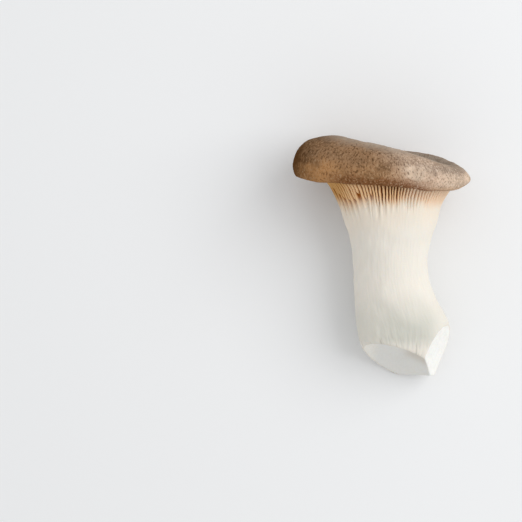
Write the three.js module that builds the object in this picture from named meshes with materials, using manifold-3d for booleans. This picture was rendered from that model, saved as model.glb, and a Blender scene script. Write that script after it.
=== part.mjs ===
// A king oyster mushroom, cut from its block and lying on its side.
// It is one solid, as it grew: a thick cap with a rolled edge and a hollow in its top, gills that run
// down under it, a smooth stem with a swollen foot, and the three knife cuts that freed it.
// Millimetres. +Y runs from the foot to the cap, +X to the cap's thin side, +Z up from the table.
// The origin is under the middle of the mushroom, on the table.
import * as THREE from "three";
import { mergeVertices } from "three/addons/utils/BufferGeometryUtils.js";
import Module from "manifold-3d";

// Driving dimensions, in millimetres and degrees
const LEAN = 7.6; // the stem's axis rises by this angle from the foot to the cap
const SEAT = { x: -0.46, y: 0.26, z: 19.55 }; // where the axis stands over the origin

// Rings round the stem's axis, from the middle of the cap's top to the foot's end. Each has its centre
// beside the axis, then its radius and its height on one, four or eight sides. They go round from the
// thin side by the upper side, the thick side and the under side of the mushroom as it lies.
const RINGS = [
  // the cap's top, from its middle over the shoulder and the crest to its widest
  { at: 3.8, radius: [0], height: [38.8] },
  { at: 3.8, radius: [10, 9, 11, 9], height: [36.2, 39.6, 41.9, 43.2, 43, 40.4, 36.6, 34.8] },
  { at: 3.8, radius: [19, 17, 21.5, 17], height: [34.8, 38.6, 42.1, 45.2, 46, 43.2, 37.6, 34.8] },
  { at: 3.8, radius: [26, 22.6, 33.2, 22], height: [34, 36, 39.2, 42.2, 43.4, 41.8, 39, 37.3] },
  { at: 3.8, radius: [29.9, 25, 37.75, 24.5], height: [29.8, 30.4, 33, 35.2, 35.4, 35.8, 35.2, 32.7] },
  // the rolled lip, the gills under it and the neck
  { at: 3.8, radius: [26.8, 23.2, 36.2, 22.8], height: [26.6, 26.6, 28.9, 30, 30.5, 31.1, 31.2, 28.6] },
  { at: 3.8, radius: [24.4, 20.8, 32.4, 20.6], height: [27, 27.2, 29.7, 31.1, 31.7, 32.1, 31.8, 29] },
  { at: 3.8, radius: [21.9, 18.0, 25.4, 17.8], height: [23.6, 27.0, 29.4, 27.6] },
  { at: 3.8, radius: [19.6, 15.9, 20.6, 15.9], height: [18.8, 20.6, 22.2, 20.6] },
  { at: 3.8, radius: [18.0, 14.8, 16.6, 14.8], height: [12] },
  // the stem, its waist and its swollen foot, of which the end is cut away
  { at: 3.8, radius: [15.2, 13.7, 14.3, 13.8], height: [3] },
  { at: 4.2, radius: [14.6, 13.5, 13.9, 13.6], height: [-7] },
  { at: 6.5, radius: [15.7, 14.2, 15.8, 14.5], height: [-17] },
  { at: 9.5, radius: [17.4, 13.0, 18.2, 15.0], height: [-26] },
  { at: 10.5, radius: [17.4, 10.5, 17.3, 15.0], height: [-35] },
  { at: 11.0, radius: [13.0, 7.5, 13.0, 14.0], height: [-45] },
  { at: 11.0, radius: [9.0, 4.0, 8.0, 9.0], height: [-53] },
];

// The gills: how many stand round the cap, long and short by turns, and how deep the furrows between
// them are on four sides. They begin at one ring and end at others, counted in rings, where none are left.
const GILLS = 96;
const GILL_DEPTH = [1.2, 1.9, 2.2, 1.9];
const GILLS_BEGIN = 5.5;
const SHORT_GILLS_END = 8;
const LONG_GILLS_END = [7.9, 8.4, 8.8, 8.6];
const GILLS_GONE = 9;
const GILL_RISE = 0.4; // rings over which a furrow gets deep, and over which it runs out
const GILL_FADE = 1.3;
const GILL_WANDER = 0.22; // how far a gill stands from its even place, as a share of the spacing
const GILL_UNEVEN_END = 0.3;

// Slow unevenness of the flesh: waves round the axis that turn as they go down, as shares of the radius
const WAVES = [
  { share: 0.014, count: 3, phase: 0.9, twist: 0.35 },
  { share: 0.009, count: 5, phase: -1.3, twist: 0.6 },
];

// The knife's cuts, as balls that scoop the flesh away, and the level that ends the foot
const SCOOP = { at: [-8.4, -85.9, 34.5], radius: 54 };
const SLICE = { through: [19.6, -35.3, 20.2], facing: [0.83, -0.44, 0.35], radius: 80 };
const FOOT_END = -46.1;

// Columns of faces round the cap and the stem, and rows between neighbouring rings
const CAP_COLUMNS = 96;
const STEM_COLUMNS = 64;
const CAP_ROWS = 3;
const GILL_ROWS = 3;
const STEM_ROWS = 2;

// The smoothest closed curve through values that stand evenly round, the first on the thin side.
function around(values, turn) {
  const count = values.length;
  if (count === 1) return values[0];
  return values.reduce((sum, value, k) => {
    const away = (turn - (2 * Math.PI * k) / count) / 2;
    const share = Math.abs(Math.sin(away)) < 1e-9 ? 1 : Math.sin(count * away) / Math.tan(away) / count;
    return sum + value * share;
  }, 0);
}

// A ring's centre, radius and height in one direction. The ring before the first is the second ring
// on the far side of the cap's middle, so that the top runs smoothly across.
function ringValues(index, turn) {
  const ring = RINGS[Math.min(Math.abs(index), RINGS.length - 1)];
  const side = index < 0 ? turn + Math.PI : turn;
  const radius = around(ring.radius, side);
  return [ring.at, index < 0 ? -radius : radius, around(ring.height, side)];
}

// What the waves make of the radius in one direction at one level.
function unevenness(turn, along) {
  return WAVES.reduce(
    (sum, wave) => sum + wave.share * Math.sin(wave.count * turn + wave.phase + wave.twist * along),
    1,
  );
}

// The smooth surface: a Catmull-Rom curve through the rings in the direction turn. along counts rings.
// It gives the point as [side, up, height] in the growth frame, and the outward direction there.
function surface(turn, along) {
  const i = Math.min(Math.floor(along), RINGS.length - 2);
  const t = along - i;
  const [a, b, c, d] = [i - 1, i, i + 1, i + 2].map((k) => ringValues(k, turn));
  const curve = a.map(
    (_, n) =>
      0.5 *
      (2 * b[n] +
        (c[n] - a[n]) * t +
        (2 * a[n] - 5 * b[n] + 4 * c[n] - d[n]) * t * t +
        (3 * b[n] - a[n] - 3 * c[n] + d[n]) * t * t * t),
  );
  const slope = a.map(
    (_, n) =>
      0.5 *
      (c[n] -
        a[n] +
        2 * (2 * a[n] - 5 * b[n] + 4 * c[n] - d[n]) * t +
        3 * (3 * b[n] - a[n] - 3 * c[n] + d[n]) * t * t),
  );
  const radius = curve[1] * unevenness(turn, along);
  const length = Math.hypot(slope[1], slope[2]);
  const [outward, upward] = [-slope[2] / length, slope[1] / length];
  return {
    point: [curve[0] + radius * Math.cos(turn), radius * Math.sin(turn), curve[2]],
    normal: [outward * Math.cos(turn), outward * Math.sin(turn), upward],
  };
}

const GILL_STEP = (2 * Math.PI) / GILLS;

// An even spread of numbers from -1 to 1, the same on each run.
function scatter(index) {
  const value = Math.sin(index * 12.9898 + 4.1414) * 43758.5453;
  return 2 * (value - Math.floor(value)) - 1;
}

function smoothStep(from, to, value) {
  const t = Math.min(Math.max((value - from) / (to - from), 0), 1);
  return t * t * (3 - 2 * t);
}

// How deep the furrow beside a gill is. The gill starts at the lip and runs out at its own level.
function furrowDepth(gill, along) {
  const turn = gill * GILL_STEP;
  const end = around(LONG_GILLS_END, turn) + GILL_UNEVEN_END * scatter(gill);
  return (
    around(GILL_DEPTH, turn) *
    smoothStep(GILLS_BEGIN, GILLS_BEGIN + GILL_RISE, along) *
    (1 - smoothStep(end - GILL_FADE, end, along))
  );
}

// How far a gill's own crest has sunk into the furrow: only a short gill's does, where it ends.
function crestDepth(gill, along) {
  if (gill % 2 === 0) return 0;
  const end = SHORT_GILLS_END + GILL_UNEVEN_END * scatter(gill);
  return furrowDepth(gill, along) * smoothStep(end - GILL_RISE, end, along);
}

// The direction of a gill's crest. A gill past the last is the first one again, a turn further on.
function crestTurn(gill) {
  return (gill + GILL_WANDER * scatter((gill % GILLS) + 0.5)) * GILL_STEP;
}

// From the growth frame to the part's: the axis leans, and the mushroom is set down on the table.
const lean = THREE.MathUtils.degToRad(LEAN);
function lay([side, up, height]) {
  return new THREE.Vector3(
    side + SEAT.x,
    height * Math.cos(lean) - up * Math.sin(lean) + SEAT.y,
    height * Math.sin(lean) + up * Math.cos(lean) + SEAT.z,
  );
}

function pointAt(turn, along, depth = 0) {
  const { point, normal } = surface(turn, along);
  return lay(point.map((value, n) => value - normal[n] * depth));
}

// One closed loop of points at a level, smooth or cut into crests and furrows.
function smoothLoop(columns, along) {
  return Array.from({ length: columns }, (_, i) => pointAt((2 * Math.PI * i) / columns, along));
}

function gillLoop(along) {
  return Array.from({ length: 2 * GILLS }, (_, i) => {
    const gill = Math.floor(i / 2);
    if (i % 2 === 0) return pointAt(crestTurn(gill), along, crestDepth(gill, along));
    const depth = (furrowDepth(gill, along) + furrowDepth((gill + 1) % GILLS, along)) / 2;
    return pointAt((crestTurn(gill) + crestTurn(gill + 1)) / 2, along, depth);
  });
}

// The levels between two rings, the last one left out.
function levels(from, to, rowsPerRing) {
  const count = Math.round((to - from) * rowsPerRing);
  return Array.from({ length: count }, (_, i) => from + ((to - from) * i) / count);
}

// Joins the loops from the cap's middle down to the foot's end into one closed surface. Neighbouring
// loops have the same number of points, or one has a whole multiple of the other's.
function skin(loops) {
  const points = loops.flat();
  const starts = loops.map((_, i) => loops.slice(0, i).reduce((sum, loop) => sum + loop.length, 0));
  const faces = [];
  for (let i = 0; i + 1 < loops.length; i++) {
    const [upper, lower] = [loops[i].length, loops[i + 1].length];
    const most = Math.max(upper, lower);
    for (let j = 0; j < most; j++) {
      const u = (k) => starts[i] + (Math.round((k * upper) / most) % upper);
      const l = (k) => starts[i + 1] + (Math.round((k * lower) / most) % lower);
      if (u(j) !== u(j + 1)) faces.push(u(j), u(j + 1), l(j));
      if (l(j) !== l(j + 1)) faces.push(u(j + 1), l(j + 1), l(j));
    }
  }
  const geometry = new THREE.BufferGeometry().setFromPoints(points);
  geometry.setIndex(faces);
  return geometry;
}

const lastRing = RINGS.length - 1;
const [capMiddle, ...capLevels] = levels(0, GILLS_BEGIN, CAP_ROWS);
const gillLevels = levels(GILLS_BEGIN, GILLS_GONE, GILL_ROWS);
const stemLevels = levels(GILLS_GONE, lastRing, STEM_ROWS);
const body = skin([
  [pointAt(0, capMiddle)],
  ...capLevels.map((level) => smoothLoop(CAP_COLUMNS, level)),
  ...gillLevels.map(gillLoop),
  ...stemLevels.map((level) => smoothLoop(STEM_COLUMNS, level)),
  [pointAt(0, lastRing).lerp(pointAt(Math.PI, lastRing), 0.5)],
]);

// The knife cuts and the flat that the mushroom lies on are cut with manifold-3d.
const wasm = await Module();
wasm.setup();

function solidOf(geometry) {
  const bare = geometry.index ? geometry.toNonIndexed() : geometry.clone();
  bare.deleteAttribute("normal");
  bare.deleteAttribute("uv");
  const merged = mergeVertices(bare, 1e-4);
  return new wasm.Manifold(
    new wasm.Mesh({
      numProp: 3,
      vertProperties: merged.getAttribute("position").array,
      triVerts: new Uint32Array(merged.index.array),
    }),
  );
}

function geometryOf(solid) {
  const mesh = solid.getMesh();
  const geometry = new THREE.BufferGeometry();
  geometry.setAttribute("position", new THREE.BufferAttribute(mesh.vertProperties, 3));
  geometry.setIndex(new THREE.BufferAttribute(mesh.triVerts, 1));
  const faceted = geometry.toNonIndexed();
  faceted.computeVertexNormals();
  return faceted;
}

function ball(at, radius) {
  return new THREE.SphereGeometry(radius, 72, 48).translate(...at);
}

// A block that takes away all that lies past one level of an axis.
function blockBelow(axis, level) {
  const size = 200;
  const at = [0, 0, 0];
  at[axis] = level - size / 2;
  return new THREE.BoxGeometry(size, size, size).translate(...at);
}

const facing = new THREE.Vector3(...SLICE.facing).normalize();
const sliceAt = new THREE.Vector3(...SLICE.through).addScaledVector(facing, SLICE.radius);
const cutters = [
  ball(SCOOP.at, SCOOP.radius),
  ball(sliceAt.toArray(), SLICE.radius),
  blockBelow(1, FOOT_END),
  blockBelow(2, 0),
];
const whole = cutters.reduce((solid, cutter) => solid.subtract(solidOf(cutter)), solidOf(body));

const flesh = new THREE.MeshStandardMaterial({ color: 0xd9c8ae, roughness: 0.75, metalness: 0 });
const mushroom = new THREE.Mesh(geometryOf(whole), flesh);
mushroom.name = "mushroom";

const part = new THREE.Group();
part.add(mushroom);
export default part;
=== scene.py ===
"""A king oyster mushroom, cut from its block and lying on its side.

The body is worked out from the same rings, gills and knife cuts as its solid, on a finer net and with
the low relief of its skin. Run as a script, it builds the mushroom and a plain studio around it.
The rings are in millimetres, and all that is put into the scene is in metres.
"""

import math

import bpy
import numpy as np
from bpy.props import FloatProperty, FloatVectorProperty, IntProperty, PointerProperty
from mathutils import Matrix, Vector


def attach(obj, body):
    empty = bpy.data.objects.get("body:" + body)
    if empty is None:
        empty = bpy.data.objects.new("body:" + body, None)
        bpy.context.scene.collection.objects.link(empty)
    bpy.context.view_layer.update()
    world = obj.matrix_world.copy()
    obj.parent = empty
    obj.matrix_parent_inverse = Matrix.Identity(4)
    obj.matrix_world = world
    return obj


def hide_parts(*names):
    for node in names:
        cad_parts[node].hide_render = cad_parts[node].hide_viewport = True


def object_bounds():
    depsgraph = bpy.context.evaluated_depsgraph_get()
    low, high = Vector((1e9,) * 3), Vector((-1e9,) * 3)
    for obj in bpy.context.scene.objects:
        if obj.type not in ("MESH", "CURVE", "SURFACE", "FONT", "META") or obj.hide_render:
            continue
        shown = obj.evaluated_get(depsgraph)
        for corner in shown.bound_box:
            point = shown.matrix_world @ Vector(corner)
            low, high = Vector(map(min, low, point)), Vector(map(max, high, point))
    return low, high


bl_info = {
    "name": "King Oyster Mushroom",
    "version": (1, 0, 0),
    "blender": (4, 5, 0),
    "location": "3D View > Sidebar > Mushroom",
    "description": "Builds a king oyster mushroom that lies on its side, with its skin, gills and cut foot",
    "category": "Add Mesh",
}

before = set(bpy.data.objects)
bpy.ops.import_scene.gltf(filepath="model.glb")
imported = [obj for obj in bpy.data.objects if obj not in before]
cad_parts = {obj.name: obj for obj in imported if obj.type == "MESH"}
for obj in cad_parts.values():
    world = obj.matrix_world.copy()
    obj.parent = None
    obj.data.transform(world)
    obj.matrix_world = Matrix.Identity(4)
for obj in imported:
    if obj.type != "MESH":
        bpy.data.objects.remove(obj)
CAD_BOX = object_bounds()
NODE = "mushroom"
PIECE = "king_oyster"

# Sizes of the form, in millimetres and degrees
MM = 0.001
LEAN = 7.6  # the stem's axis rises by this angle from the foot to the cap
SEAT = np.array([-0.46, 0.26, 19.55])  # where the axis stands over the origin

# Rings round the stem's axis, from the middle of the cap's top to the foot's end. Each has its centre
# beside the axis, then its radius and its height on one, four or eight sides. They go round from the
# thin side by the upper side, the thick side and the under side of the mushroom as it lies.
RINGS = (
    # the cap's top, from its middle over the shoulder and the crest to its widest
    (3.8, (0,), (38.8,)),
    (3.8, (10, 9, 11, 9), (36.2, 39.6, 41.9, 43.2, 43, 40.4, 36.6, 34.8)),
    (3.8, (19, 17, 21.5, 17), (34.8, 38.6, 42.1, 45.2, 46, 43.2, 37.6, 34.8)),
    (3.8, (26, 22.6, 33.2, 22), (34.0, 36.0, 39.2, 42.2, 43.4, 41.8, 39.0, 37.3)),
    (3.8, (29.9, 25, 37.75, 24.5), (29.8, 30.4, 33.0, 35.2, 35.4, 35.8, 35.2, 32.7)),
    # the rolled lip, the gills under it and the neck
    (3.8, (26.8, 23.2, 36.2, 22.8), (26.6, 26.6, 28.9, 30.0, 30.5, 31.1, 31.2, 28.6)),
    (3.8, (24.4, 20.8, 32.4, 20.6), (27.0, 27.2, 29.7, 31.1, 31.7, 32.1, 31.8, 29.0)),
    (3.8, (21.9, 18.0, 25.4, 17.8), (23.6, 27.0, 29.4, 27.6)),
    (3.8, (19.6, 15.9, 20.6, 15.9), (18.8, 20.6, 22.2, 20.6)),
    (3.8, (18.0, 14.8, 16.6, 14.8), (12,)),
    # the stem, its waist and its swollen foot, of which the end is cut away
    (3.8, (15.2, 13.7, 14.3, 13.8), (3,)),
    (4.2, (14.6, 13.5, 13.9, 13.6), (-7,)),
    (6.5, (15.7, 14.2, 15.8, 14.5), (-17,)),
    (9.5, (17.4, 13.0, 18.2, 15.0), (-26,)),
    (10.5, (17.4, 10.5, 17.3, 15.0), (-35,)),
    (11.0, (13.0, 7.5, 13.0, 14.0), (-45,)),
    (11.0, (9.0, 4.0, 8.0, 9.0), (-53,)),
)

# Levels, counted in rings from the middle of the cap's top
LIP = 5
GILLS_BEGIN = 5.5
GILLS_GONE = 9
FOOT_BEGINS = 12
LAST_RING = len(RINGS) - 1
SIDES = 8

# The gills: the furrows' share of the full depth on four sides, where they end, and how they wander
FURROW_SHARE = (0.63, 1.0, 1.16, 1.0)
SHORT_GILLS_END = 8.0
LONG_GILLS_END = (7.9, 8.4, 8.8, 8.6)
GILL_RISE = 0.4
GILL_FADE = 1.3
GILL_WANDER = 0.22
GILL_UNEVEN_END = 0.3
GILL_SWAY = 0.07  # how far a gill's edge weaves to its sides, as a share of the spacing
GILL_SWAY_WAVES = ((1.0, 5.1, 9), (0.6, 13.7, 23))  # each wave's share, rate along the gill and shift
EDGE_SHARE = 0.2  # from here to WALL_SHARE of the spacing, a gill's side goes down to the furrow
WALL_SHARE = 0.46

# Slow unevenness of the flesh: share of the radius, waves round the axis, phase, and turn for each ring
WAVES = ((0.014, 3, 0.9, 0.35), (0.009, 5, -1.3, 0.6))

# The skin's relief: the radius of the drum that its waves are drawn on, their shortest and longest
# length, and their seed. The dimples are drawn on the form itself.
CAP_FOLDS = (26, 1.6, 4.5, 11)
STEM_FIBRES = (15, 1.0, 3.2, 12)
LIP_WAVES = (30, 6, 16, 13)
DIMPLES = (5, 13, 14)
RELIEF_STEP = 3.0  # length of a ring on the drum
FOLDS_START = (0.5, 2)  # the folds rise between these levels
LIP_WIDTH = 0.5
FOOT_FIBRES = 1.8  # how much deeper the fibres get on the foot, and between which levels
FOOT_FIBRES_START = (12.8, 14)

# What the skin's colours read: the hollow in the cap's top, where shade is painted, and the crest before it,
# where a highlight is painted, each with its direction in degrees, its spread round it and its levels, and
# the drum that the grain is drawn on
HOLLOW_WAY = 318
HOLLOW_SPREAD = (0.0, 0.85)
HOLLOW_START = (0, 1.6)
HOLLOW_END = (2.5, 3.4)
CREST_WAY = 35
CREST_SPREAD = (0.55, 0.95)
CREST_LEVEL = 2.75
CREST_WIDTH = 0.4
GRAIN_RADIUS = 12
GRAIN_WIDENING = 0.5
GRAIN_STEP = 8.0

# The knife's cuts, as balls that scoop the flesh away, and the level that ends the foot
SCOOP_AT = np.array([-8.4, -85.9, 34.5])
SCOOP_RADIUS = 54.0
SLICE_THROUGH = np.array([19.6, -35.3, 20.2])
SLICE_FACING = np.array([0.83, -0.44, 0.35])
SLICE_RADIUS = 80.0
FOOT_END = -46.1
HEART = np.array([9.0, -24.0, 15.0])  # a point deep in the foot, from which every cut is seen
CUT_EDGE = 0.7  # over this distance the skin rounds over into a cut
TABLE_EDGE = 0.3
CUT_START = -0.1  # how deep in the old skin the cut's finish starts
SLICE_BORDER = 0.35
MARK_REACH = 60  # marks are worked out this far from the heart at most
SCOOP_SEED = 21
SLICE_SEED = 23
BLADE_MARKS = (0.55, 1.3, 3.5)  # share of the marks, and their shortest and longest wave
TORN_GRAIN = (0.45, 2, 7)
BLADE_STRETCH = np.array([1.0, 0.25, 0.25])

# The net: columns round the cap, for each gill and round the stem, and the rows' spacing
GILLS = 96
CAP_COLUMNS = 480
GILL_COLUMNS = 10
STEM_COLUMNS = 320
CAP_ROW = 0.85
GILL_ROW = 0.72
STEM_ROW = 0.56
FINE_LEVELS = 400  # levels at which a meridian's length is measured

# Numbers that stand for nothing, for hardly any slope and for a long way off
TINY = 1e-9
SLIGHT = 1e-3
FAR = 1e3

# A ripple's number of waves, and the peak that it is brought down from
RIPPLE_WAVES = 28
RIPPLE_PEAK = 1.6

# The photograph's frame: its width, the place of the mushroom's origin in it, and a pixel's size
PHOTO_PIXELS = 522
ORIGIN_PIXEL = (381.7, 256.2)
PIXEL = 0.38 * MM
CAMERA_DISTANCE = 0.9
SENSOR = 36.0
KEY_AT = (0.60, 0.26, 0.74)  # where the soft light stands


# The form

def closed_curve(values, turn):
    """The smoothest closed curve through the values in the last axis, which stand evenly round: each
    value times the periodic sine ratio sin(n d) / (n tan d), where d is half the angle away from it,
    summed."""
    values = np.asarray(values, float)
    turn = np.asarray(turn, float)
    count = values.shape[-1]
    if count == 1:
        return np.full(turn.shape, values[0])
    away = (turn[..., None] - 2 * np.pi * np.arange(count) / count) / 2
    near = np.abs(np.sin(away)) < TINY
    ratio = np.sin(count * away) / np.where(near, 1, np.tan(away)) / count
    return (values * np.where(near, 1, ratio)).sum(-1)


def ring_table():
    """The rings' centre, radius and height on eight sides, as an array of ring, value and side. A ring
    is added before the first, the second ring seen across the cap's middle, and one after the last."""
    sides = np.arange(SIDES) * 2 * np.pi / SIDES
    table = np.array(
        [
            [np.full(SIDES, centre), closed_curve(radius, sides), closed_curve(height, sides)]
            for centre, radius, height in RINGS
        ]
    )
    across = np.roll(table[1], SIDES // 2, axis=1) * np.array([[1], [-1], [1]])
    return np.concatenate([[across], table, table[-1:]])


RING_TABLE = ring_table()


def surface(turn, along):
    """Point and outward direction of the smooth form, in the growth frame (side, up, height).

    A Catmull-Rom curve through the rings in the direction turn, at the level along, counted in rings.
    The direction is the curve's slope turned by a right angle."""
    ring = np.clip(np.floor(along).astype(int), 0, LAST_RING - 1)
    t = (along - ring)[..., None]
    a, b, c, d = (
        np.stack([closed_curve(RING_TABLE[ring + k, value], turn) for value in range(3)], -1)
        for k in range(4)
    )
    bend, twist = 2 * a - 5 * b + 4 * c - d, 3 * b - a - 3 * c + d
    curve = 0.5 * (2 * b + (c - a) * t + bend * t**2 + twist * t**3)
    slope = 0.5 * (c - a + 2 * bend * t + 3 * twist * t**2)
    waves = sum(
        share * np.sin(count * turn + phase + turned * along) for share, count, phase, turned in WAVES
    )
    radius = curve[..., 1] * (1 + waves)
    length = np.hypot(slope[..., 1], slope[..., 2])
    outward, upward = -slope[..., 2] / length, slope[..., 1] / length
    cos, sin = np.cos(turn), np.sin(turn)
    point = np.stack([curve[..., 0] + radius * cos, radius * sin, curve[..., 2]], -1)
    return point, np.stack([outward * cos, outward * sin, upward], -1)


def smooth_step(low, high, value):
    """0 below low, 1 above high, and 3 t^2 - 2 t^3 between them."""
    t = np.clip((value - low) / (high - low), 0, 1)
    return t * t * (3 - 2 * t)


def smooth_min(a, b, width):
    """The smaller of a and b, rounded where they differ by less than width."""
    share = np.clip(0.5 + 0.5 * (b - a) / width, 0, 1)
    return b + (a - b) * share - width * share * (1 - share)


def scatter(index):
    """An even spread of numbers from -1 to 1: twice the broken part of a large sine, less 1."""
    value = np.sin(index * 12.9898 + 4.1414) * 43758.5453
    return 2 * (value - np.floor(value)) - 1


def ripple(points, shortest, longest, seed):
    """Smooth unevenness, about -1 to 1: the mean of plane waves with random directions, phases and
    lengths from shortest to longest, in the points' own unit."""
    draw = np.random.default_rng(seed)
    way = draw.normal(size=(RIPPLE_WAVES, 3))
    way /= np.linalg.norm(way, axis=1, keepdims=True)
    way *= 2 * np.pi / draw.uniform(shortest, longest, (RIPPLE_WAVES, 1))
    phase = draw.uniform(0, 2 * np.pi, RIPPLE_WAVES)
    return np.sin(points @ way.T + phase).sum(-1) * math.sqrt(2 / RIPPLE_WAVES) / RIPPLE_PEAK


def lay(point):
    """From the growth frame to the part's: the axis leans, and the mushroom is set down."""
    side, up, height = np.moveaxis(point, -1, 0)
    lean = math.radians(LEAN)
    laid = [
        side,
        height * math.cos(lean) - up * math.sin(lean),
        height * math.sin(lean) + up * math.cos(lean),
    ]
    return np.stack(laid, -1) + SEAT


# The gills

def crest_turn(gill, along):
    """Direction of a gill's edge: its even place, its own wander, and a weave that runs along it."""
    own = scatter(gill % GILLS + 0.5)
    sway = sum(share * np.sin(rate * along + shift * own) for share, rate, shift in GILL_SWAY_WAVES)
    weave = GILL_SWAY * sway * smooth_step(GILLS_BEGIN, GILLS_BEGIN + GILL_RISE, along)
    weave = weave * (1 - smooth_step(GILLS_GONE - 1, GILLS_GONE, along))
    return (gill + GILL_WANDER * own + weave) * 2 * np.pi / GILLS


def furrow_depth(gill, along):
    """Share of the full depth beside a gill: it rises from the lip and runs out at the gill's end."""
    turn = gill * 2 * np.pi / GILLS
    end = closed_curve(LONG_GILLS_END, turn) + GILL_UNEVEN_END * scatter(gill % GILLS)
    rise = smooth_step(GILLS_BEGIN, GILLS_BEGIN + GILL_RISE, along)
    return closed_curve(FURROW_SHARE, turn) * rise * (1 - smooth_step(end - GILL_FADE, end, along))


def edge_depth(gill, along):
    """How far a gill's edge has sunk: only every other one does, where a short gill ends."""
    end = SHORT_GILLS_END + GILL_UNEVEN_END * scatter(gill % GILLS)
    sunk = furrow_depth(gill, along) * smooth_step(end - GILL_RISE, end, along)
    return np.where(gill % 2 == 0, 0, sunk)


def gill_net(along):
    """Directions and furrow depths of a row of columns across the gills at each level.

    Between two gills' edges a column's share f runs from 0 to 1. The depth goes from the nearer edge's
    to the furrow's as a smooth step of the distance to that edge."""
    column = np.arange(GILLS * GILL_COLUMNS)[None, :]
    along = np.asarray(along)[:, None]
    gill = column // GILL_COLUMNS
    share = column % GILL_COLUMNS / GILL_COLUMNS
    turn = crest_turn(gill, along) * (1 - share) + crest_turn(gill + 1, along) * share
    wall = smooth_step(EDGE_SHARE, WALL_SHARE, np.minimum(share, 1 - share))
    edge = np.where(share < 0.5, edge_depth(gill, along), edge_depth(gill + 1, along))
    furrow = (furrow_depth(gill, along) + furrow_depth(gill + 1, along)) / 2
    return turn, edge * (1 - wall) + furrow * wall


# The net of points

def levels(start, stop, spacing):
    """Levels from start up to stop, left out, that lie spacing apart on the mean of eight meridians."""
    fine = np.linspace(start, stop, FINE_LEVELS)
    turn = np.arange(SIDES) * 2 * np.pi / SIDES
    points = surface(*np.meshgrid(turn, fine))[0]
    steps = np.linalg.norm(np.diff(points, axis=0), axis=-1).mean(1)
    length = np.concatenate([[0], np.cumsum(steps)])
    rows = int(round(length[-1] / spacing))
    return np.interp(np.arange(rows) * length[-1] / rows, length, fine)


def even_rows(along, columns):
    """Directions of evenly spaced columns at each level, with no furrows."""
    turn = np.arange(columns) * 2 * np.pi / columns
    turn = np.broadcast_to(turn, (len(along), columns))
    return turn, np.zeros(turn.shape)


def band_faces(first, rows, columns):
    """Quads of a closed band of rows whose points are numbered on from first."""
    row, column = np.meshgrid(np.arange(rows - 1), np.arange(columns), indexing="ij")
    here, beside = row * columns + column, row * columns + (column + 1) % columns
    return (first + np.stack([here, beside, beside + columns, here + columns], -1)).reshape(-1, 4)


def join_faces(fine, coarse, fine_is_upper):
    """Triangles between two loops, of which one has a whole multiple of the other's points. Each edge
    of the fine loop meets the coarse point nearest to it, and each coarse edge the fine point between."""
    times = len(fine) // len(coarse)
    edge = np.arange(len(fine))
    apex = ((edge + times / 2) // times).astype(int) % len(coarse)
    whole = np.arange(len(coarse))
    middle = np.ceil(times * (whole + 0.5)).astype(int) % len(fine)
    fans = np.stack([fine, np.roll(fine, -1), coarse[apex]], -1)
    gaps = np.stack([coarse, fine[middle], np.roll(coarse, -1)], -1)
    faces = np.concatenate([fans, gaps])
    return faces if fine_is_upper else faces[:, ::-1]


def build_net():
    """Every point's direction, level and furrow depth, and the faces that join them from the cap's
    middle, over the bands of the cap, the gills and the stem, to the foot's end."""
    cap = levels(0, GILLS_BEGIN, CAP_ROW)[1:]
    gills = levels(GILLS_BEGIN, GILLS_GONE, GILL_ROW)
    stem = levels(GILLS_GONE, LAST_RING, STEM_ROW)
    bands = [
        (cap, *even_rows(cap, CAP_COLUMNS)),
        (gills, *gill_net(gills)),
        (stem, *even_rows(stem, STEM_COLUMNS)),
    ]
    turn, along, furrow, faces = [np.zeros(1)], [np.zeros(1)], [np.zeros(1)], []
    first, above = 1, np.array([0])
    for level, band_turn, band_furrow in bands:
        rows, columns = band_turn.shape
        top = np.arange(first, first + columns)
        if len(above) == 1:
            faces.append(np.stack([np.full(columns, above[0]), np.roll(top, -1), top], -1))
        elif len(above) < columns:
            faces.append(join_faces(top, above, False))
        else:
            faces.append(join_faces(above, top, True))
        faces.append(band_faces(first, rows, columns))
        turn.append(band_turn.ravel())
        along.append(np.repeat(level, columns))
        furrow.append(band_furrow.ravel())
        first += rows * columns
        above = np.arange(first - columns, first)
    turn.append(np.zeros(1))
    along.append(np.full(1, float(LAST_RING)))
    furrow.append(np.zeros(1))
    faces.append(np.stack([above, np.roll(above, -1), np.full(len(above), first)], -1))
    return np.concatenate(turn), np.concatenate(along), np.concatenate(furrow), faces


# The relief and the cuts

def drum_ripple(turn, down, radius, shortest, longest, seed):
    """ripple on a drum of the given radius, round it in the direction turn and down it."""
    drum = np.stack([np.cos(turn) * radius, np.sin(turn) * radius, down], -1)
    return ripple(drum, shortest, longest, seed)


def skin_relief(point, turn, along, form):
    """Height of the skin over the smooth form, in millimetres: the sum of slow dimples in the bare skin,
    fine folds that run outward on the cap, fibres that run down the stem, and waves in the lip."""
    on_cap = 1 - smooth_step(LIP, GILLS_BEGIN, along)
    on_stem = smooth_step(GILLS_GONE - 1, GILLS_GONE, along)
    on_lip = np.exp(-(((along - LIP) / LIP_WIDTH) ** 2))
    bare = np.clip(on_cap + on_stem, 0, 1)
    down = along * RELIEF_STEP
    folds = drum_ripple(turn, down, *CAP_FOLDS) * smooth_step(*FOLDS_START, along)
    deeper = 1 + FOOT_FIBRES * smooth_step(*FOOT_FIBRES_START, along)
    fibres = drum_ripple(turn, down, *STEM_FIBRES) * deeper
    lip = drum_ripple(turn, down * 0, *LIP_WAVES)
    relief = (
        form.dimple_height * bare * ripple(point, *DIMPLES)
        + form.fold_height * (on_cap * folds + on_stem * fibres)
        + form.lip_wave * on_lip * lip
    )
    return relief / MM


def knife_marks(point, seed):
    """Unevenness of a cut face, about -1 to 1: short waves across it and the torn grain of the flesh."""
    blade, *blade_waves = BLADE_MARKS
    torn, *torn_waves = TORN_GRAIN
    marks = blade * ripple(point * BLADE_STRETCH, *blade_waves, seed)
    return marks + torn * ripple(point, *torn_waves, seed + 1)


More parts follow.
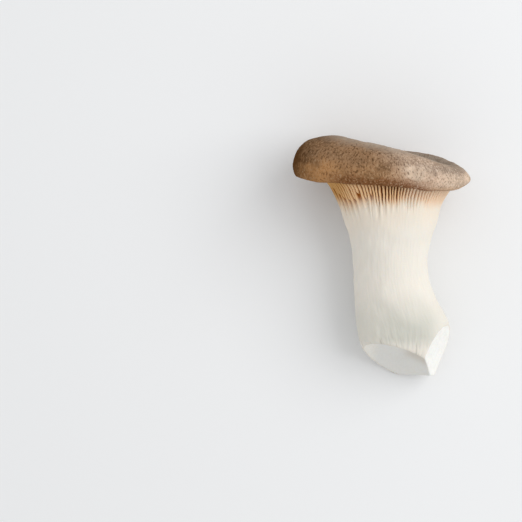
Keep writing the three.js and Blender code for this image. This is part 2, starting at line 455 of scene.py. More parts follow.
def distance_to_ball(way, centre, radius):
    """Distance from the heart along each way to where it enters a ball, or a long way if it misses."""
    offset = HEART - centre
    half = way @ offset
    inside = half**2 - (offset @ offset - radius**2)
    meets = (inside > 0) & (half < 0)
    return np.where(meets, -half - np.sqrt(np.maximum(inside, 0)), FAR)


def distance_to_cut(way, centre, radius, depth, seed):
    """distance_to_ball, with the knife's marks of the given depth in the ball's face."""
    plain = distance_to_ball(way, centre, radius)
    face = HEART + way * np.minimum(plain, MARK_REACH)[..., None]
    return plain + depth * knife_marks(face, seed)


def trim(point, along, form):
    """Pulls the foot's points in to the knife's cuts, straight towards the heart, and tells how far
    inside the old skin each one now lies, in millimetres, and which are on the slice."""
    away = point - HEART
    reach = np.linalg.norm(away, axis=-1)
    way = away / np.maximum(reach, TINY)[..., None]
    facing = SLICE_FACING / np.linalg.norm(SLICE_FACING)
    slice_at = SLICE_THROUGH + facing * SLICE_RADIUS
    marks = form.mark_height / MM
    scoop = distance_to_cut(way, SCOOP_AT, SCOOP_RADIUS, marks, SCOOP_SEED)
    flat = distance_to_cut(way, slice_at, SLICE_RADIUS, marks, SLICE_SEED)
    down = way[..., 1]
    level = np.where(down < -SLIGHT, (FOOT_END - HEART[1]) / np.minimum(down, -SLIGHT), FAR)
    cut = smooth_min(smooth_min(scoop, flat, CUT_EDGE / 2), level, CUT_EDGE / 2)
    cut = np.where(along > FOOT_BEGINS, cut, FAR)
    kept = smooth_min(reach, cut, CUT_EDGE)
    on_slice = smooth_step(-SLICE_BORDER, SLICE_BORDER, scoop - flat)
    return HEART + way * kept[..., None], reach - cut, on_slice


def toward(way, turn):
    """How far each direction turn faces the way given in degrees: the cosine between them, not below 0."""
    return np.clip(np.cos(turn - np.radians(way)), 0, 1)


def skin_facts(point, turn, along):
    """Masks of the hollow in the cap's top, which gets painted shade, and of the crest before it, which
    gets a painted highlight, and the grain's own coordinates on a drum that widens with the point's
    distance from the axis."""
    hollow = smooth_step(*HOLLOW_SPREAD, toward(HOLLOW_WAY, turn))
    hollow = hollow * (1 - smooth_step(*HOLLOW_END, along)) * smooth_step(*HOLLOW_START, along)
    crest = smooth_step(*CREST_SPREAD, toward(CREST_WAY, turn))
    crest = crest * np.exp(-(((along - CREST_LEVEL) / CREST_WIDTH) ** 2))
    radius = GRAIN_RADIUS + GRAIN_WIDENING * np.hypot(point[:, 0], point[:, 1])
    grain = np.column_stack([np.cos(turn) * radius, np.sin(turn) * radius, along * GRAIN_STEP])
    return {"hollow": hollow, "crest": crest, "grain": grain}


def mushroom_points(form):
    """Points of the whole body in metres, the faces between them, and what the materials read: level,
    furrow depth, cut, slice and the skin's facts."""
    turn, along, furrow, faces = build_net()
    point, outward = surface(turn, along)
    depth = form.gill_depth / MM * furrow
    relief = skin_relief(point, turn, along, form)
    laid = lay(point + outward * (relief - depth)[:, None])
    end = along == LAST_RING
    laid[end] = lay(surface(np.array([0, np.pi]), np.array([LAST_RING, LAST_RING]))[0]).mean(0)
    laid, cut_depth, on_slice = trim(laid, along, form)
    laid[:, 2] = -smooth_min(-laid[:, 2], 0 * laid[:, 2], TABLE_EDGE)
    facts = {
        "level": along,
        "furrow": furrow,
        "cut": smooth_step(CUT_START, CUT_EDGE, cut_depth),
        "slice": on_slice,
        **skin_facts(point, turn, along),
    }
    return laid * MM, faces, facts


def mesh_from(name, points, faces, facts):
    """A mesh of points and arrays of faces, with its facts kept as attributes of its points."""
    mesh = bpy.data.meshes.new(name)
    mesh.from_pydata(points.tolist(), [], [face for band in faces for face in band.tolist()])
    for fact, values in facts.items():
        kind, field = ("FLOAT_VECTOR", "vector") if values.ndim == 2 else ("FLOAT", "value")
        attribute = mesh.attributes.new(fact, kind, "POINT")
        attribute.data.foreach_set(field, values.astype(np.float32).ravel())
    mesh.polygons.foreach_set("use_smooth", np.ones(len(mesh.polygons), bool))
    mesh.update()
    return mesh


# Materials

# Where each colour lies. A span is the name of a fact and where it starts and is whole. Two more numbers
# are its values there, in place of 0 and 1, and a name alone stands for the fact as it is. Levels are
# counted in rings. Places across the mushroom are in metres, from its middle to the thin side.
CAP_SHOULDER = (("height", 1.8, 3.0),)
CAP_LOW = (("height", 3.35, 4.05), ("side", -0.010, -0.026, 0.3, 0.95))
CAP_THIN_LEAN = (("height", 2.8, 3.6, 0.0, -0.0034),)
CAP_THIN = (("leaning side", -0.008, 0.017),)
CAP_THIN_SHOULDER = (("height", 3.1, 4.1),)
CAP_LOW_END_LEAN = (("level", 3.7, 4.1, 0.0, 0.0016),)
CAP_UPPER_END_LEAN = (("level", 3.3, 2.5, 0.0, -0.008),)
# where the painted shadow at the cap's thick end lies
CAP_THICK_END_SHADOW = (("low end", -0.0278, -0.0326, 0.0, 0.9),)
CAP_BAND_START = (("side", 0.0, 0.016, 4.06, 4.45),)
CAP_BAND_SLOPE = 2.4
CAP_UNEVEN_HEIGHT = 0.9
CAP_UNEVEN_SIDE = 0.009
CAP_UNEVEN_END = 0.004
DARK_MOTTLE = (("dashes", 0.47, 0.385), ("crowd", 0.35, 0.62, 0.5, 1.0))
PALE_MOTTLE = (("dashes", 0.53, 0.63), ("crowd", 0.62, 0.38, 0.5, 1.0))
DASHES = (("level", 1.9, 2.9, 0.28, 1.0), ("level", 0.2, 0.8))
DARK_DASHES = (*DASHES, ("thin", 0.0, 1.0, 1.0, 0.5), ("low", 0.0, 1.0, 1.0, 0.6))
PALE_DASHES = (*DASHES, ("hollow", 0.0, 0.8, 0.7, 0.15), ("thick end shadow", 0.0, 1.0, 1.0, 0.2))
GILLS_LATER = (("across", -0.004, -0.013, 0.0, 0.4),)
GILLS_SOONER = (("across", 0.003, 0.009, 0.0, 0.3), ("across", 0.018, 0.012))
GILL_THICK_SIDE = (("across", -0.010, -0.018),)
GILL_THIN_SIDE = (("across", 0.003, 0.013),)
# the painted shade down between the gills, and where it fades towards the stem
GILL_DEPTH = (("furrow",), ("reach", 8.5, 7.4), ("thick", 0.0, 1.0, 1.0, 1.9))
GILL_FURROW_SHADE_FADED = (("thick",), ("reach", 7.3, 8.1))
GILL_DEEP = (("depth", 0.06, 0.54), ("shade faded", 0.0, 0.8, 1.0, 0.0))
ON_GILLS = (("level", 5.05, 5.4),)
ON_STEM = (("reach", 7.4, 8.2),)
OFF_POLE = (("level", 0.2, 0.8),)
ROUGHNESS = (("level", 5.0, 6.0, 0.6, 0.75),)
STEM_WANDER = 0.9

# Layers of colour, each laid over the ones before it: the colour, its strength, and the spans it shows in
CAP_LAYERS = (
    # painted highlights: a lighter line along the crest, and a pale patch below it
    ("cap_thin_lip_and_highlight", 0.28, ("crest",)),
    (
        "cap_thin_fleck_and_highlight",
        0.7,
        ("height", 3.15, 3.6),
        ("height", 4.3, 3.95),
        ("side", 0.005, 0.010),
        ("side", 0.018, 0.012),
    ),
    # the tip of the thin side, and painted shade over it
    ("cap_thin_fleck_and_highlight", 0.5, ("side", 0.019, 0.027), ("level", 3.4, 3.7)),
    ("cap_hollow_shade", 0.45, ("side", 0.018, 0.023), ("level", 3.5, 3.2)),
    # a darker, browner band over the thin side's lip, and that lip, paler, partly its own tan and partly a
    # painted highlight on its rim
    ("cap_lip_and_shade", 0.32, ("height", 3.85, 4.35), ("side", 0.001, 0.008), ("side", 0.021, 0.015)),
    ("cap_thin_lip_and_highlight", 1.0, ("level", 4.3, 4.8), ("side", 0.012, 0.02)),
    # the brown band along the lip, partly the skin's own colour and partly painted shade where the lip turns
    # under, and painted shade in the crease where it rolls in
    ("cap_lip_and_shade", 0.76, ("band",), ("side", -0.023, -0.014, 0.1, 1.0), ("side", 0.024, 0.014)),
    ("cap_lip_and_shade", 1.0, ("level", 4.8, 5.1), ("side", -0.022, -0.014, 0.1, 0.55)),
    # painted shadow at the thick end, painted shade in the hollow behind the crest, and the blotches
    ("cap_end_shadow", 1.0, ("upper end", -0.0212, -0.033, 0.0, 0.52)),
    ("cap_end_shadow", 1.0, ("thick end shadow",)),
    ("cap_hollow_shade", 0.9, ("hollow",)),
    ("cap_dark", 1.0, ("uneven", -0.18, 0.1, 0.3, 0.0), ("level", 1.2, 2.6, 0.4, 1.0)),
)
GILL_EDGE_LAYERS = (
    ("gill_thick_edge", 1.0, ("thick",)),
    ("gill_thin_edge", 1.0, ("across", 0.004, 0.012)),
)
# painted shadow that the lip casts on the gills' roots
GILL_ROOT_SHADOW_LAYERS = (
    ("gill_root_shadow", 1.0, ("level", 7.3, 6.7), ("across", 0.012, 0.003, 0.1, 0.5)),
    ("gill_root_shadow", 1.0, ("level", 5.85, 5.5)),
)
STEM_LAYERS = (
    ("stem_shade", 1.0, ("fibres", 0.35, 0.65, 0.0, 0.1)),
    # under the gills
    ("stem_tint", 1.0, ("wander", 9.8, 8.0, 0.0, 0.65)),
    ("stem_tint", 1.0, ("wander", 8.2, 7.2)),
    # on the foot: greyer skin, partly painted shade where the foot turns away from the light, and short dark
    # streaks
    (
        "foot_shade",
        0.85,
        ("rise", 11.3, 13.0),
        ("rise", 14.2, 13.5),
        ("across", 0.024, 0.016, 0.25, 1.0),
        ("across", -0.006, 0.006, 0.55, 1.0),
    ),
    ("foot_streak", 0.45, ("streaks", 0.6, 0.7), ("level", 13.0, 13.7)),
)
CUT_LAYERS = (
    # painted light and shade: the scoop lighter on its thick side, where its wall catches more, and the
    # slice whiter than the scoop, partly as the lit face of the same flesh
    ("scoop_lit_edge", 1.0, ("across", 0.0, -0.005)),
    ("cut_rim", 0.5, ("across", 0.006, 0.012), ("up", 0.013, 0.022)),
    ("slice", 1.0, ("slice",)),
    ("cut_shade", 1.0, ("grain", 0.4, 0.65, 0.0, 0.2)),
    ("cut_rim", 0.45, ("cut", 0.05, 0.35), ("cut", 0.95, 0.5)),
)

# Noises: scale, detail, roughness and distortion. The grain's ones are stretched along it.
BLOTCHES = (190, 3, 0.6, 0.3)
CROWDING = (95, 2, 0.5)
FINE_DASHES = (1.7, 2, 0.6, 0.4)
PORES = (1900, 1, 0.5)
FIBRES = (1.0, 4, 0.6)
STREAKS = (0.8, 2, 0.5)
SLOW_TONE = (70, 2, 0.5)
CUT_GRAIN = (1400, 3, 0.6)
DASH_STRETCH = (1.0, 1.0, 0.45)
FIBRE_STRETCH = (1.0, 1.0, 0.1)
STREAK_STRETCH = (1.0, 1.0, 0.16)
CUT_STRETCH = (1.0, 0.3, 0.3)
PORE_SHARE = 0.2
BLOTCH_HEIGHT = 0.5

# Depths of the bumps, and how far light goes into the flesh, in metres
SKIN_BUMP = 0.00020
FIBRE_BUMP = 0.00010
CUT_BUMP = 0.00010
GLOW_SHARE = 0.1
GLOW_DEPTH = 0.0012
GLOW_COLOURS = (1.0, 0.7, 0.45)
FLOOR_ROUGHNESS = 0.85


def opaque(colour):
    return (*colour, 1.0)


class Network:
    """Adds shader nodes to a tree and joins them. A value given to an input is a socket or a number."""

    def __init__(self, tree):
        self.tree = tree

    def add(self, kind, **settings):
        node = self.tree.nodes.new(kind)
        for name, value in settings.items():
            setattr(node, name, value)
        return node

    def feed(self, socket, value):
        if isinstance(value, bpy.types.NodeSocket):
            self.tree.links.new(value, socket)
        else:
            socket.default_value = value

    def math(self, operation, a, b=0.0, clamp=False):
        node = self.add("ShaderNodeMath", operation=operation, use_clamp=clamp)
        self.feed(node.inputs[0], a)
        self.feed(node.inputs[1], b)
        return node.outputs[0]

    def blend(self, share, a, b):
        node = self.add("ShaderNodeMix", data_type="RGBA", clamp_factor=True)
        self.feed(node.inputs["Factor"], share)
        self.feed(node.inputs[6], a)
        self.feed(node.inputs[7], b)
        return node.outputs[2]

    def span(self, value, low, high, to_low=0.0, to_high=1.0):
        """A smooth step of value from low to high, on to the range to_low to to_high."""
        node = self.add("ShaderNodeMapRange", interpolation_type="SMOOTHSTEP")
        for name, number in (
            ("Value", value),
            ("From Min", low),
            ("From Max", high),
            ("To Min", to_low),
            ("To Max", to_high),
        ):
            self.feed(node.inputs[name], number)
        return node.outputs["Result"]

    def mask(self, facts, spans):
        """The product of spans, each a fact's name and the ends of its smooth step, or a name alone."""
        values = [self.span(facts[name], *ends) if ends else facts[name] for name, *ends in spans]
        product = values[0]
        for value in values[1:]:
            product = self.math("MULTIPLY", product, value)
        return product

    def layers(self, colour, rows, facts, colours):
        """Lays colours over one another, each by its strength times the mask of its spans."""
        for name, strength, *spans in rows:
            share = self.math("MULTIPLY", self.mask(facts, spans), strength)
            colour = self.blend(share, colour, opaque(getattr(colours, name)))
        return colour

    def waver(self, value, uneven, amount):
        """A value made uneven: the value plus amount times uneven."""
        return self.math("ADD", value, self.math("MULTIPLY", uneven, amount))

    def noise(self, vector, scale, detail, roughness, distortion=0.0):
        node = self.add("ShaderNodeTexNoise")
        self.feed(node.inputs["Vector"], vector)
        node.inputs["Scale"].default_value = scale
        node.inputs["Detail"].default_value = detail
        node.inputs["Roughness"].default_value = roughness
        node.inputs["Distortion"].default_value = distortion
        return node.outputs["Fac"]

    def stretch(self, vector, factors):
        node = self.add("ShaderNodeVectorMath", operation="MULTIPLY")
        self.feed(node.inputs[0], vector)
        node.inputs[1].default_value = factors
        return node.outputs[0]

    def fact(self, name, output="Fac"):
        return self.add("ShaderNodeAttribute", attribute_name=name).outputs[output]

    def bump(self, height, distance, normal=None):
        node = self.add("ShaderNodeBump")
        self.feed(node.inputs["Height"], height)
        node.inputs["Distance"].default_value = distance
        if normal is not None:
            self.feed(node.inputs["Normal"], normal)
        return node.outputs["Normal"]


def new_group(name, inputs, outputs):
    """An empty shader node group with named inputs and outputs, and its two end nodes."""
    group = bpy.data.node_groups.new(name, "ShaderNodeTree")
    for label, kind in inputs:
        group.interface.new_socket(label, in_out="INPUT", socket_type=kind)
    for label, kind in outputs:
        group.interface.new_socket(label, in_out="OUTPUT", socket_type=kind)
    network = Network(group)
    return network, network.add("NodeGroupInput"), network.add("NodeGroupOutput")


def mottle_group():
    """Skin mottle: blotches a few millimetres wide, and fine dashes that run with the grain and lie
    closer in some places than in others."""
    net, start, end = new_group(
        "Skin mottle",
        [("Place", "NodeSocketVector"), ("Grain", "NodeSocketVector")],
        [(label, "NodeSocketFloat") for label in ("Blotch", "Dark dashes", "Pale dashes", "Height")],
    )
    place, grain = start.outputs["Place"], start.outputs["Grain"]
    blotch = net.noise(place, *BLOTCHES)
    crowd = net.noise(place, *CROWDING)
    fine = net.noise(net.stretch(grain, DASH_STRETCH), *FINE_DASHES)
    pores = net.noise(place, *PORES)
    dashes = net.waver(net.math("MULTIPLY", fine, 1 - PORE_SHARE), pores, PORE_SHARE)
    facts = {"dashes": dashes, "crowd": crowd}
    dark = net.mask(facts, DARK_MOTTLE)
    pale = net.mask(facts, PALE_MOTTLE)
    net.feed(end.inputs["Blotch"], blotch)
    net.feed(end.inputs["Dark dashes"], dark)
    net.feed(end.inputs["Pale dashes"], pale)
    net.feed(end.inputs["Height"], net.waver(dashes, blotch, BLOTCH_HEIGHT))
    return net.tree


def place_group(net, group, **inputs):
    """A node group placed in a tree, with values for its inputs."""
    node = net.add("ShaderNodeGroup", node_tree=group)
    for name, value in inputs.items():
        net.feed(node.inputs[name], value)
    return node


def cap_colour(net, facts, mottle, colours):
    """Grey-brown on top, brown on the flank and warmer low on it, pale on the thin side, with CAP_LAYERS
    over them. The blotches make the borders uneven, and dark and pale dashes lie over it all."""
    uneven = net.math("SUBTRACT", mottle.outputs["Blotch"], 0.5)
    end = net.waver(facts["across"], uneven, CAP_UNEVEN_END)
    facts = {
        **facts,
        "uneven": uneven,
        "height": net.waver(facts["level"], uneven, CAP_UNEVEN_HEIGHT),
        "side": net.waver(facts["across"], uneven, CAP_UNEVEN_SIDE),
        "low end": net.math("ADD", end, net.mask(facts, CAP_LOW_END_LEAN)),
        "upper end": net.math("ADD", end, net.mask(facts, CAP_UPPER_END_LEAN)),
    }
    facts["leaning side"] = net.math("ADD", facts["side"], net.mask(facts, CAP_THIN_LEAN))
    facts["thin"] = net.mask(facts, CAP_THIN)
    facts["low"] = net.mask(facts, CAP_LOW)
    # the painted shadow at the cap's thick end
    facts["thick end shadow"] = net.mask(facts, CAP_THICK_END_SHADOW)
    past_start = net.math("SUBTRACT", facts["height"], net.mask(facts, CAP_BAND_START))
    facts["band"] = net.math("MULTIPLY", past_start, CAP_BAND_SLOPE, clamp=True)

    brown = net.blend(net.mask(facts, CAP_SHOULDER), opaque(colours.cap_top), opaque(colours.cap_flank))
    brown = net.blend(facts["low"], brown, opaque(colours.cap_low))
    shoulder = net.mask(facts, CAP_THIN_SHOULDER)
    pale = net.blend(shoulder, opaque(colours.cap_thin_top), opaque(colours.cap_thin))
    colour = net.layers(net.blend(facts["thin"], brown, pale), CAP_LAYERS, facts, colours)

    dark = net.math("MULTIPLY", mottle.outputs["Dark dashes"], net.mask(facts, DARK_DASHES))
    colour = net.blend(dark, colour, opaque(colours.cap_dark))
    light = net.math("MULTIPLY", mottle.outputs["Pale dashes"], net.mask(facts, PALE_DASHES))
    fleck = net.blend(facts["thin"], opaque(colours.cap_fleck), opaque(colours.cap_thin_fleck_and_highlight))
    return net.blend(light, colour, fleck)


def gill_colour(net, facts, colours):
    """Tan at the gills' edges and brown painted shade down in the furrows, yellower on the thick side and
    paler on the thin side. On the thick side the painted shade fades towards the stem, and painted shadow
    darkens the gills' roots under the lip."""
    facts = {**facts, "thick": net.mask(facts, GILL_THICK_SIDE)}
    facts["depth"] = net.mask(facts, GILL_DEPTH)
    facts["shade faded"] = net.mask(facts, GILL_FURROW_SHADE_FADED)
    edge = net.layers(opaque(colours.gill_edge), GILL_EDGE_LAYERS, facts, colours)
    thin = net.mask(facts, GILL_THIN_SIDE)
    deep = net.blend(thin, opaque(colours.gill_furrow_shade), opaque(colours.gill_thin_furrow_shade))
    colour = net.blend(net.mask(facts, GILL_DEEP), edge, deep)
    return net.layers(colour, GILL_ROOT_SHADOW_LAYERS, facts, colours)


def stem_colour(net, facts, place, grain, colours):
    """Cream with faint fibres, peach under the gills, and greyer with short dark streaks on the foot, the
    grey partly painted shade where the foot turns away from the light. Also puts out the fibres."""
    fibres = net.noise(net.stretch(grain, FIBRE_STRETCH), *FIBRES)
    slow = net.noise(place, *SLOW_TONE)
    facts = {
        **facts,
        "fibres": fibres,
        "streaks": net.noise(net.stretch(grain, STREAK_STRETCH), *STREAKS),
        "wander": net.waver(facts["reach"], net.math("SUBTRACT", fibres, 0.5), STEM_WANDER),
        "rise": net.math("ADD", facts["level"], net.math("SUBTRACT", slow, 0.5)),
    }
    return net.layers(opaque(colours.stem), STEM_LAYERS, facts, colours), fibres


def cut_colour(net, facts, place, colours):
    """Pale flesh with a faint grain: whiter on the slice and greyer in the scoop, partly painted light and
    shade on two faces of the same flesh, and in the scoop lighter and warmer to the thick side, painted
    light on the wall that catches more.
    A warm line runs along the skin. Also puts out the grain."""
    grain = net.noise(net.stretch(place, CUT_STRETCH), *CUT_GRAIN)
    facts = {**facts, "grain": grain}
    return net.layers(opaque(colours.scoop), CUT_LAYERS, facts, colours), grain


def flesh_material(colours):
    """The whole body's finish: cap skin, gills, stem skin and cut flesh, blended by the points' facts.
    The stem starts at a level of its own across the mushroom, which is the fact reach."""
    material = bpy.data.materials.new("Mushroom flesh")
    material.use_nodes = True
    net = Network(material.node_tree)
    shader = material.node_tree.nodes["Principled BSDF"]
    place = net.add("ShaderNodeTexCoord").outputs["Object"]
    grain = net.fact("grain", "Vector")
    mottle = place_group(net, mottle_group(), Place=place, Grain=grain)
    facts = {name: net.fact(name) for name in ("level", "furrow", "cut", "slice", "crest", "hollow")}
    parts = net.add("ShaderNodeSeparateXYZ")
    net.feed(parts.inputs[0], place)
    facts["across"], facts["up"] = parts.outputs["X"], parts.outputs["Z"]
    reach = net.math("SUBTRACT", facts["level"], net.mask(facts, GILLS_LATER))
    facts["reach"] = net.math("ADD", reach, net.mask(facts, GILLS_SOONER))

    stem, fibres = stem_colour(net, facts, place, grain, colours)
    cut_flesh, cut_grain = cut_colour(net, facts, place, colours)
    cap = cap_colour(net, facts, mottle, colours)
    gills = gill_colour(net, facts, colours)
    on_gills, on_stem = net.mask(facts, ON_GILLS), net.mask(facts, ON_STEM)
    colour = net.blend(on_stem, net.blend(on_gills, cap, gills), stem)
    net.feed(shader.inputs["Base Color"], net.blend(facts["cut"], colour, cut_flesh))

    on_cap = net.math("MULTIPLY", net.math("SUBTRACT", 1.0, on_gills), net.mask(facts, OFF_POLE))
    normal = net.bump(net.math("MULTIPLY", mottle.outputs["Height"], on_cap), SKIN_BUMP)
    normal = net.bump(net.math("MULTIPLY", fibres, on_stem), FIBRE_BUMP, normal)
    normal = net.bump(net.math("MULTIPLY", cut_grain, facts["cut"]), CUT_BUMP, normal)
    net.feed(shader.inputs["Normal"], normal)
    net.feed(shader.inputs["Roughness"], net.mask(facts, ROUGHNESS))
    shader.inputs["Specular IOR Level"].default_value = 0.0
    shader.inputs["Subsurface Weight"].default_value = GLOW_SHARE
    shader.inputs["Subsurface Scale"].default_value = GLOW_DEPTH
    shader.inputs["Subsurface Radius"].default_value = GLOW_COLOURS
    return material


def floor_material(colour):
    """The floor's plain matt finish."""
    material = bpy.data.materials.new("Pale floor")
    material.use_nodes = True
    shader = material.node_tree.nodes["Principled BSDF"]
    shader.inputs["Base Color"].default_value = opaque(colour)
    shader.inputs["Roughness"].default_value = FLOOR_ROUGHNESS
    return material


# Settings

def relief_setting(name, description, default, largest):
    """A height or depth of the skin."""
    return FloatProperty(
        name=name, description=description, default=default, min=0.0, max=largest, precision=5, unit="LENGTH"
    )


def stage_setting(name, description, default, smallest=0.0, unit="NONE"):
    """A number of the studio."""
    return FloatProperty(name=name, description=description, default=default, min=smallest, unit=unit)


def swatch(name, description, default):
    """A colour that a user may change."""
    return FloatVectorProperty(
        name=name, description=description, default=default, min=0.0, max=1.0, size=3, subtype="COLOR"
    )


class MushroomForm(bpy.types.PropertyGroup):
    """Sizes of the mushroom's relief"""

    gill_depth: relief_setting("Gill depth", "Depth of the furrows between the gills", 0.0019, 0.003)
    dimple_height: relief_setting("Dimples", "Height of the slow dimples in the skin", 0.00014, 0.0005)
    fold_height: relief_setting("Folds", "Height of the skin's fine folds and fibres", 0.00004, 0.0002)
    lip_wave: relief_setting("Lip wave", "Height of the waves in the cap's lip", 0.0002, 0.001)
    mark_height: relief_setting("Knife marks", "Height of the marks in the cut faces", 0.00009, 0.0005)


class MushroomColours(bpy.types.PropertyGroup):
    """Colours of the mushroom's skin, gills and flesh"""

    cap_top: swatch("Cap top", "Grey-brown skin on the cap's top", (0.385, 0.31, 0.243))
    cap_flank: swatch("Cap flank", "Brown skin on the cap's flank", (0.287, 0.166, 0.088))
    cap_low: swatch("Cap low", "Warmer skin low on the flank", (0.52, 0.270, 0.112))
    # also painted shade along the lip and in the crease where it rolls in
    cap_lip_and_shade: swatch("Cap lip", "Skin along the lip", (0.18, 0.062, 0.017))
    cap_thin_top: swatch("Cap thin top", "Skin high on the thin side", (0.445, 0.343, 0.268))
    cap_thin: swatch("Cap thin side", "Pale skin on the thin side", (0.60, 0.44, 0.325))
    # also a painted highlight along the crest, and partly one along the thin side's lip
    cap_thin_lip_and_highlight: swatch("Cap thin lip", "Lip and crest on the thin side", (0.60, 0.41, 0.275))
    # painted shade: the hollow's darker skin stands in for the shadow inside it
    cap_hollow_shade: swatch("Cap hollow", "Skin in the hollow of the cap's top", (0.30, 0.243, 0.192))
    cap_dark: swatch("Cap dark", "Dark dashes and blotches", (0.070, 0.033, 0.012))
    # painted shadow: the dark thick end stands in for shade cast on the cap there
    cap_end_shadow: swatch("Cap end", "The dark end on the thick side", (0.085, 0.036, 0.011))
    cap_fleck: swatch("Cap flecks", "Pale dashes in the brown skin", (0.40, 0.255, 0.145))
    # also the painted highlight in the pale patch below the crest
    cap_thin_fleck_and_highlight: swatch("Cap thin flecks", "Pale dashes on the thin side", (0.78, 0.62, 0.48))
    gill_edge: swatch("Gill edge", "Edges of the gills", (0.85, 0.56, 0.31))
    gill_thick_edge: swatch("Gill thick edge", "Edges of the gills on the thick side", (0.64, 0.37, 0.14))
    gill_thin_edge: swatch("Gill thin edge", "Edges of the gills on the thin side", (0.81, 0.605, 0.435))
    # painted shade down between the gills
    gill_furrow_shade: swatch("Gill furrow", "Deep between the gills", (0.38, 0.125, 0.013))
    gill_thin_furrow_shade: swatch("Gill thin furrow", "Between the gills on the thin side", (0.57, 0.35, 0.205))
    # painted shadow that the lip casts on the gills' roots
    gill_root_shadow: swatch("Gill root", "Skin where the gills leave the lip", (0.22, 0.105, 0.042))
    stem: swatch("Stem", "Skin of the stem", (0.83, 0.79, 0.715))
    stem_shade: swatch("Stem shade", "Fibres in the stem's skin", (0.68, 0.64, 0.55))
    stem_tint: swatch("Stem tint", "Skin just under the gills", (0.835, 0.725, 0.59))
    # partly painted shade where the foot turns away from the light
    foot_shade: swatch("Foot shade", "Greyer skin on the foot", (0.61, 0.61, 0.545))
    foot_streak: swatch("Foot streaks", "Short dark streaks on the foot", (0.42, 0.40, 0.34))
    # scoop and slice are partly shaded and lit copies of the same flesh, and the scoop edge is painted light
    scoop: swatch("Scoop", "Flesh in the hollow cut of the foot", (0.78, 0.775, 0.74))
    scoop_lit_edge: swatch("Scoop edge", "The same flesh on the thick side", (0.88, 0.855, 0.785))
    slice: swatch("Slice", "Flesh on the side cut of the foot", (0.92, 0.92, 0.885))
    cut_shade: swatch("Cut shade", "Grain of the cut flesh", (0.72, 0.70, 0.65))
    cut_rim: swatch("Cut rim", "Skin's edge along a cut", (0.55, 0.46, 0.36))


class StudioSettings(bpy.types.PropertyGroup):
    """Floor, light and camera"""

    floor: swatch("Floor", "Colour of the floor", (0.85, 0.86, 0.87))
    floor_size: stage_setting("Floor size", "Side of the floor", 6.0, 1.0, "LENGTH")
    key_power: stage_setting("Key light", "Power of the soft light", 4.6, unit="POWER")
    key_size: stage_setting("Key size", "Side of the soft light", 0.8, 0.05, "LENGTH")
    sky: stage_setting("Room light", "Strength of the light from all round", 0.72)
    camera_distance: stage_setting(
        "Camera distance", "From the camera to the middle of the mushroom", CAMERA_DISTANCE, 0.2, "LENGTH"
    )
    frame_pixels: IntProperty(
        name="Frame", description="Side of the picture, in pixels", default=PHOTO_PIXELS, min=1
    )


# Operators

class MUSHROOM_OT_add_body(bpy.types.Operator):
    """Add the mushroom's body with its skin, gills and cut foot"""

    bl_idname = "mushroom.add_body"
    bl_label = "Add Mushroom"
    bl_options = {"REGISTER", "UNDO"}

    def execute(self, context):
        points, faces, facts = mushroom_points(context.scene.mushroom_form)
        mesh = mesh_from(PIECE, points, faces, facts)
        mesh.materials.append(flesh_material(context.scene.mushroom_colours))
        body = bpy.data.objects.new(PIECE, mesh)
        context.scene.collection.objects.link(body)
        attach(body, "root")
        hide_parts(NODE)
        return {"FINISHED"}


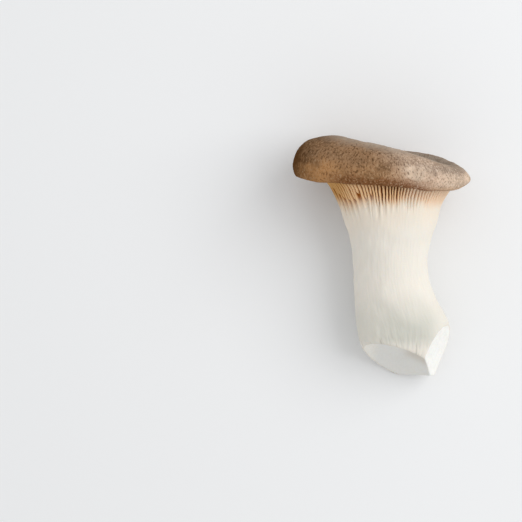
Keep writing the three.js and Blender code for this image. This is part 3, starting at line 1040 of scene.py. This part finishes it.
class MUSHROOM_OT_add_stage(bpy.types.Operator):
    """Add the floor, the soft lights and the camera that looks straight down"""

    bl_idname = "mushroom.add_stage"
    bl_label = "Add Stage"
    bl_options = {"REGISTER", "UNDO"}

    def execute(self, context):
        scene, settings = context.scene, context.scene.mushroom_studio
        self.add_floor(scene, settings)
        self.add_light(scene, settings)
        self.add_camera(scene, settings)
        scene.view_settings.view_transform = "Standard"
        return {"FINISHED"}

    def add_floor(self, scene, settings):
        half = settings.floor_size / 2
        mesh = bpy.data.meshes.new("floor")
        corners = [(-half, -half, 0), (half, -half, 0), (half, half, 0), (-half, half, 0)]
        mesh.from_pydata(corners, [], [(0, 1, 2, 3)])
        mesh.materials.append(floor_material(settings.floor))
        floor = bpy.data.objects.new("floor", mesh)
        scene.collection.objects.link(floor)

    def add_light(self, scene, settings):
        light = bpy.data.lights.new("key", "AREA")
        light.energy = settings.key_power
        light.size = settings.key_size
        key = bpy.data.objects.new("key", light)
        key.location = KEY_AT
        key.rotation_mode = "QUATERNION"
        key.rotation_quaternion = key.location.to_track_quat("Z", "Y")
        scene.collection.objects.link(key)
        world = bpy.data.worlds.new("Room")
        world.use_nodes = True
        background = world.node_tree.nodes["Background"]
        background.inputs["Color"].default_value = (1.0, 1.0, 1.0, 1.0)
        background.inputs["Strength"].default_value = settings.sky
        scene.world = world

    def add_camera(self, scene, settings):
        """The camera hangs over the photograph's middle, which lies beside the mushroom."""
        low, high = CAD_BOX
        middle = settings.frame_pixels / 2
        data = bpy.data.cameras.new("camera")
        data.sensor_width = SENSOR
        data.lens = SENSOR * settings.camera_distance / (settings.frame_pixels * PIXEL)
        camera = bpy.data.objects.new("camera", data)
        camera.location = (
            (middle - ORIGIN_PIXEL[0]) * PIXEL,
            (ORIGIN_PIXEL[1] - middle) * PIXEL,
            (low.z + high.z) / 2 + settings.camera_distance,
        )
        scene.collection.objects.link(camera)
        scene.camera = camera


class MUSHROOM_PT_panel(bpy.types.Panel):
    """Lists the mushroom's settings, with the buttons that add its body and its stage"""

    bl_idname = "MUSHROOM_PT_panel"
    bl_label = "King Oyster Mushroom"
    bl_space_type = "VIEW_3D"
    bl_region_type = "UI"
    bl_category = "Mushroom"

    def draw(self, context):
        scene = context.scene
        for operator, groups in (
            (MUSHROOM_OT_add_body, (scene.mushroom_form, scene.mushroom_colours)),
            (MUSHROOM_OT_add_stage, (scene.mushroom_studio,)),
        ):
            box = self.layout.box()
            for group in groups:
                for name in group.__annotations__:
                    box.prop(group, name)
            box.operator(operator.bl_idname)


CLASSES = (
    MushroomForm,
    MushroomColours,
    StudioSettings,
    MUSHROOM_OT_add_body,
    MUSHROOM_OT_add_stage,
    MUSHROOM_PT_panel,
)


def register():
    for cls in CLASSES:
        bpy.utils.register_class(cls)
    bpy.types.Scene.mushroom_form = PointerProperty(type=MushroomForm)
    bpy.types.Scene.mushroom_colours = PointerProperty(type=MushroomColours)
    bpy.types.Scene.mushroom_studio = PointerProperty(type=StudioSettings)


def unregister():
    del bpy.types.Scene.mushroom_studio
    del bpy.types.Scene.mushroom_colours
    del bpy.types.Scene.mushroom_form
    for cls in reversed(CLASSES):
        bpy.utils.unregister_class(cls)


def main():
    """Builds the mushroom and its stage."""
    register()
    bpy.ops.mushroom.add_stage()
    bpy.ops.mushroom.add_body()
    bpy.context.view_layer.update()


if __name__ == "__main__":
    main()
